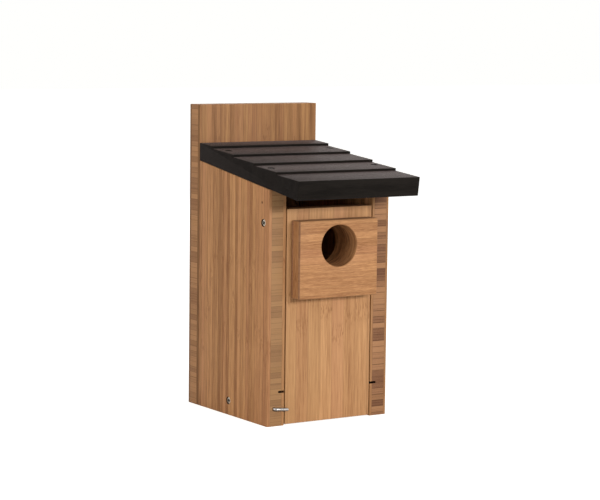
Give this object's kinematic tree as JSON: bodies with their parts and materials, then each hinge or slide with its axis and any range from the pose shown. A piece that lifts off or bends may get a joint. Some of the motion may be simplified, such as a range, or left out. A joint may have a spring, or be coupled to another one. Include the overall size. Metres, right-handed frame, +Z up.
{
  "type": "front-opening nest box",
  "caption": "Bamboo nest box for small cavity-nesting birds: stepped sloping roof, round entrance through a guard block, swing-out front door held by a turning hook, tall back panel.",
  "frame": {"origin": "on the surface the box stands on, under the middle of its overall footprint, roof included", "axes": "+Z up; -Y is the front, with the door and the entrance; +Y is the rear face that goes against a post or wall; +X is to the right as seen from the front"},
  "size_m": [0.13, 0.1904, 0.285],
  "materials": {
    "bamboo_board": "thin clear oil on laminated bamboo, vertical narrow-strip grain, cross-grain core on the edges",
    "bamboo_front": "thin clear oil on paler laminated bamboo, vertical grain on the door and level grain on the guard",
    "stained_roof": "matt charcoal-brown stain, the grain just showing",
    "screw_steel": "satin zinc plate",
    "screw_black": "matt black phosphate",
    "hook_steel": "bright galvanised wire",
    "galvanised_mesh": "dull galvanised welded wire"
  },
  "bodies": {
    "house": {"back_panel": "bamboo_board", "left_side": "bamboo_board", "right_side": "bamboo_board", "floor_board": "bamboo_board", "mesh_floor": "galvanised_mesh", "roof_panel": "stained_roof", "back_screw_lower_left": "screw_steel", "back_screw_lower_right": "screw_steel", "back_screw_upper_left": "screw_steel", "back_screw_upper_right": "screw_steel", "floor_screw_back": "screw_steel", "floor_screw_left": "screw_steel", "floor_screw_right": "screw_steel", "roof_screw_rear_left": "screw_black", "roof_screw_rear_right": "screw_black", "roof_screw_front_left": "screw_black", "roof_screw_front_right": "screw_black"},
    "door": {"front_door": "bamboo_front", "predator_guard": "bamboo_front", "pivot_screw_left": "screw_steel", "pivot_screw_right": "screw_steel", "guard_screw_left": "screw_steel", "guard_screw_right": "screw_steel"},
    "latch": {"latch_hook": "hook_steel"}
  },
  "joints": [
    {"name": "door_swing", "type": "hinge", "parent": "house", "child": "door", "pos_m": [0, -0.0372, 0.184], "axis": [-1, 0, 0], "range_deg": [0, 85]},
    {"name": "latch_turn", "type": "hinge", "parent": "house", "child": "latch", "pos_m": [-0.0578, -0.0468, 0.016], "axis": [0, -1, 0], "range_deg": [-55, 185]}
  ]
}
